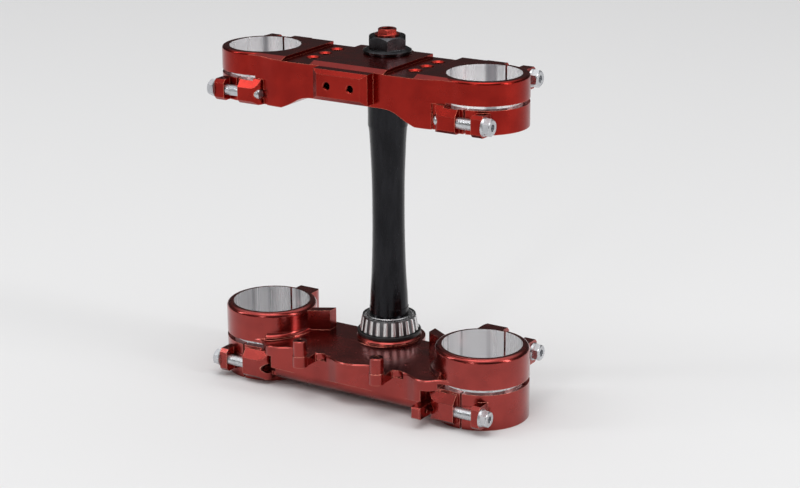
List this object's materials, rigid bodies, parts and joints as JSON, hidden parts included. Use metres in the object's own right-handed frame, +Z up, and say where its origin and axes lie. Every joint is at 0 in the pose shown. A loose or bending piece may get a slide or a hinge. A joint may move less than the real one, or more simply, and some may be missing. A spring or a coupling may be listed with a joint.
{
  "type": "motorcycle triple clamp",
  "caption": "Upper and lower fork clamps joined by a steering stem, with pinch bolts, stem nut and the lower steering bearing.",
  "frame": {"origin": "steering axis, on the underside of the lower clamp", "axes": "+X along the line of the two forks, +Y to the rear of the motorcycle, +Z up along the steering axis"},
  "size_m": [0.2606, 0.1053, 0.2764],
  "materials": {
    "red_anodised": "deep red anodised, satin",
    "black_stem": "black anodised, satin",
    "bearing_steel": "ground",
    "seal_rubber": "matte",
    "nut_steel": "dark, satin",
    "red_cap": "red anodised, glossy",
    "zinc_bolt": "zinc plated"
  },
  "bodies": {
    "clamps": {"upper_clamp": "red_anodised", "lower_clamp": "red_anodised", "steering_stem": "black_stem", "bearing_inner_race": "bearing_steel", "bearing_dust_seal": "seal_rubber", "stem_washer": "nut_steel", "stem_nut": "nut_steel", "stem_cap_screw": "red_cap", "upper_right_front_bolt": "zinc_bolt", "upper_left_front_bolt": "zinc_bolt", "upper_right_rear_bolt": "zinc_bolt", "upper_left_rear_bolt": "zinc_bolt", "lower_right_front_bolt": "zinc_bolt", "lower_left_front_bolt": "zinc_bolt", "lower_right_rear_bolt": "zinc_bolt", "lower_left_rear_bolt": "zinc_bolt"},
    "roller_set": {"bearing_cage": "bearing_steel", "bearing_rollers": "bearing_steel"}
  },
  "joints": [
    {"name": "rollers_turn", "type": "hinge", "parent": "clamps", "child": "roller_set", "pos_m": [0, 0, 0.0473], "axis": [0, 0, 1], "continuous": true}
  ]
}
